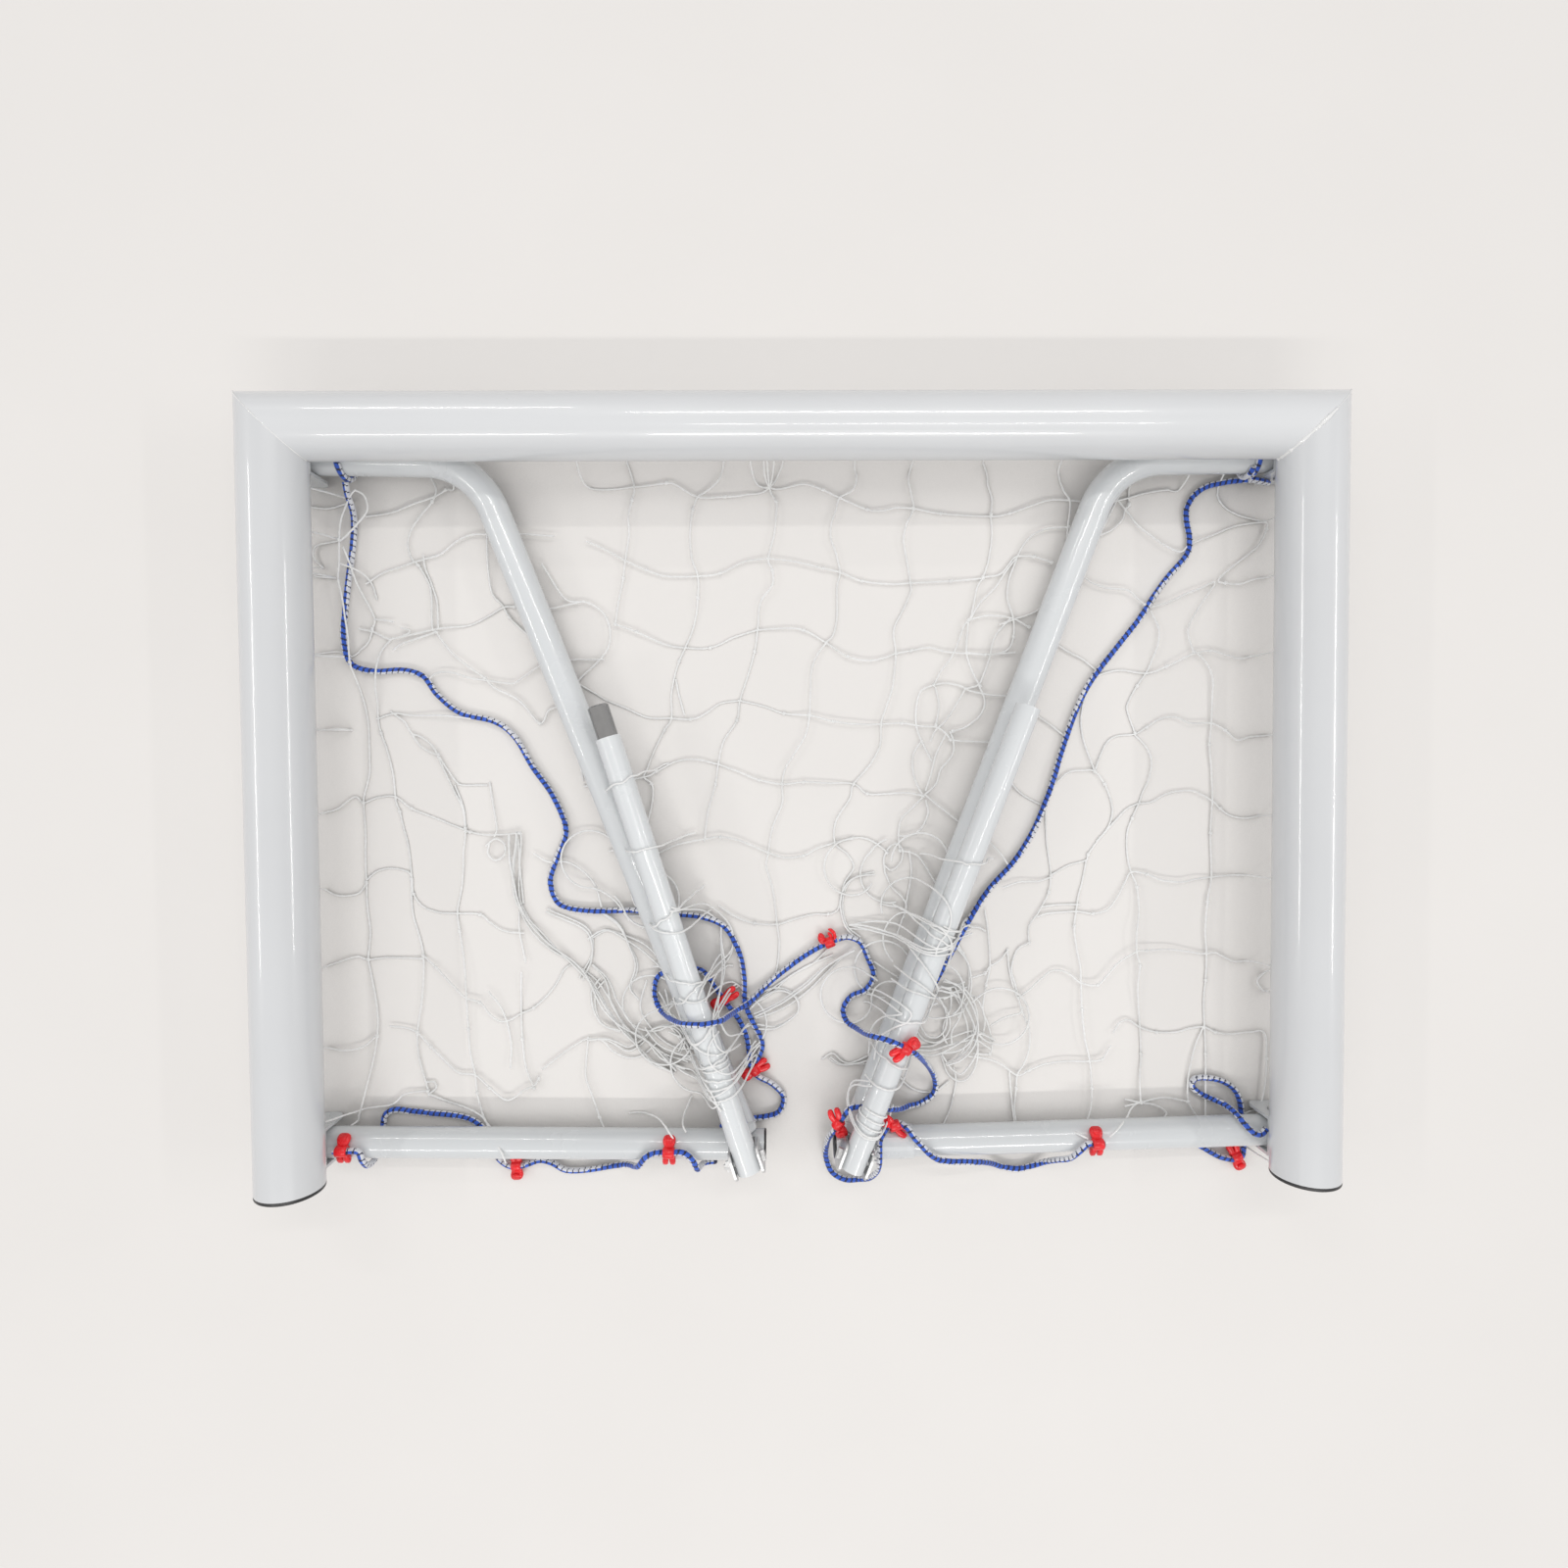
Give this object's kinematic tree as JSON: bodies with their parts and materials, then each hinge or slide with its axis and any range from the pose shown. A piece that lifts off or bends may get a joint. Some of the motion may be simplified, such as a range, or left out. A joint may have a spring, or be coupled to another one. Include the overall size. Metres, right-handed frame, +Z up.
{
  "type": "folding soccer goal",
  "caption": "Folding steel soccer goal lying folded flat: white tube front frame, hinged side frames, split rear bar, net, marker rope and red net clips.",
  "frame": {"origin": "on the ground under the middle of the front frame", "axes": "+X along the crossbar to the picture's right, +Y from the posts' feet to the crossbar, +Z up from the ground the folded goal lies on"},
  "size_m": [1.3596, 1.0293, 0.1367],
  "materials": {
    "white_paint": "gloss white powder coat on steel tube",
    "black_plastic": "satin black moulded plastic",
    "bright_steel": "bare drawn steel",
    "galvanised_steel": "dull zinc plate",
    "red_plastic": "moulded red plastic",
    "net_twine": "knotted white twine",
    "marker_rope": "white braided rope with a blue tracer"
  },
  "bodies": {
    "front_frame": {"crossbar": "white_paint", "left_post": "white_paint", "right_post": "white_paint", "left_post_cap": "black_plastic", "right_post_cap": "black_plastic", "left_upper_hinge_bracket": "white_paint", "left_upper_hinge_pin": "galvanised_steel", "left_lower_hinge_bracket": "white_paint", "left_lower_hinge_pin": "galvanised_steel", "right_upper_hinge_bracket": "white_paint", "right_upper_hinge_pin": "galvanised_steel", "right_lower_hinge_bracket": "white_paint", "right_lower_hinge_pin": "galvanised_steel", "rear_net": "net_twine"},
    "left_side_frame": {"left_stanchion": "white_paint", "left_ground_tube": "white_paint", "left_tube_plug": "black_plastic", "left_clevis": "galvanised_steel", "left_bar_bolt": "galvanised_steel", "left_bar_nut": "galvanised_steel", "left_upper_hinge_knuckle": "white_paint", "left_lower_hinge_knuckle": "white_paint", "left_side_net": "net_twine", "left_rope_tie": "marker_rope", "left_side_rope": "marker_rope", "left_loop_rope": "marker_rope", "left_ground_rope": "marker_rope", "net_clip_1": "red_plastic", "net_clip_2": "red_plastic", "net_clip_3": "red_plastic", "net_clip_4": "red_plastic", "net_clip_5": "red_plastic", "net_clip_6": "red_plastic"},
    "right_side_frame": {"right_stanchion": "white_paint", "right_ground_tube": "white_paint", "right_tube_plug": "black_plastic", "right_clevis": "galvanised_steel", "right_bar_bolt": "galvanised_steel", "right_bar_nut": "galvanised_steel", "right_upper_hinge_knuckle": "white_paint", "right_lower_hinge_knuckle": "white_paint", "right_side_net": "net_twine", "right_rope_tie": "marker_rope", "right_side_rope": "marker_rope", "right_loop_rope": "marker_rope", "right_ground_rope": "marker_rope", "right_tube_sleeve": "white_paint", "net_clip_7": "red_plastic", "net_clip_9": "red_plastic", "net_clip_10": "red_plastic", "net_clip_11": "red_plastic"},
    "left_bar_half": {"left_rear_bar": "white_paint", "left_spigot": "bright_steel"},
    "right_bar_half": {"right_rear_bar": "white_paint", "net_clip_8": "red_plastic"}
  },
  "joints": [
    {"name": "left_side_hinge", "type": "hinge", "parent": "front_frame", "child": "left_side_frame", "pos_m": [-0.64, -0.4595, 0.032], "axis": [0, 1, 0], "range_deg": [0, 90], "deforming": ["left_side_net", "rear_net", "left_side_rope", "left_loop_rope", "left_ground_rope"]},
    {"name": "right_side_hinge", "type": "hinge", "parent": "front_frame", "child": "right_side_frame", "pos_m": [0.64, -0.4595, 0.032], "axis": [0, -1, 0], "range_deg": [0, 90], "deforming": ["right_side_net", "right_side_rope", "right_loop_rope", "right_ground_rope"]},
    {"name": "left_bar_hinge", "type": "hinge", "parent": "left_side_frame", "child": "left_bar_half", "pos_m": [-0.07, -0.47045, 0.078], "axis": [0.9543, 0.299, 0], "range_deg": [0, 90]},
    {"name": "right_bar_hinge", "type": "hinge", "parent": "right_side_frame", "child": "right_bar_half", "pos_m": [0.07, -0.47045, 0.078], "axis": [0.9334, -0.3588, 0], "range_deg": [0, 90]}
  ]
}
